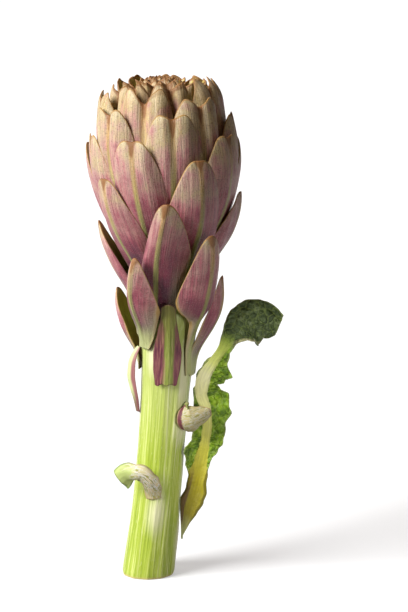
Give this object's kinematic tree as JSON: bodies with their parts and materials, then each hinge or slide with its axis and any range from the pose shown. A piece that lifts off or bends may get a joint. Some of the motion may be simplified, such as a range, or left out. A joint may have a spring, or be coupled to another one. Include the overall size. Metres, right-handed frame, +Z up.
{
  "type": "artichoke",
  "caption": "Purple globe artichoke standing on its long cut stem, with spiralling overlapping bracts, a lobed leaf and curled stubs of trimmed leaves.",
  "frame": {"origin": "middle of the artichoke's outer box, on the level of the cut face that it stands on; the middle of the cut face is 19.65 mm towards -X from it", "axes": "+Z up the stem to the tips of the bud, +X towards the side that carries the leaf, -Y the front"},
  "size_m": [0.0964, 0.0782, 0.26],
  "materials": {
    "bract": "satin, waxy bloom",
    "inner_bud": "satin",
    "stem": "satin, streaked",
    "leaf": "matt, felted",
    "leaf_stub": "satin"
  },
  "bodies": {
    "root": {"bract_01": "bract", "bract_02": "bract", "bract_03": "bract", "bract_04": "bract", "bract_05": "bract", "bract_06": "bract", "bract_07": "bract", "bract_08": "bract", "bract_09": "bract", "bract_10": "bract", "bract_11": "bract", "bract_12": "bract", "bract_13": "bract", "bract_14": "bract", "bract_15": "bract", "bract_16": "bract", "bract_17": "bract", "bract_18": "bract", "bract_19": "bract", "bract_20": "bract", "bract_21": "bract", "bract_22": "bract", "bract_23": "bract", "bract_24": "bract", "bract_25": "bract", "bract_26": "bract", "bract_27": "bract", "bract_28": "bract", "bract_29": "bract", "bract_30": "bract", "bract_31": "bract", "bract_32": "bract", "bract_33": "bract", "bract_34": "bract", "bract_35": "bract", "bract_36": "bract", "bract_37": "bract", "bract_38": "bract", "bract_39": "bract", "bract_40": "bract", "bract_41": "bract", "bract_42": "bract", "bract_43": "bract", "bract_44": "bract", "bract_45": "bract", "clasping_bract": "bract", "inner_bud": "inner_bud", "leaf": "leaf", "leaf_stub_left": "leaf_stub", "leaf_stub_right": "leaf_stub", "side_bract": "bract", "stem": "stem"}
  },
  "joints": []
}
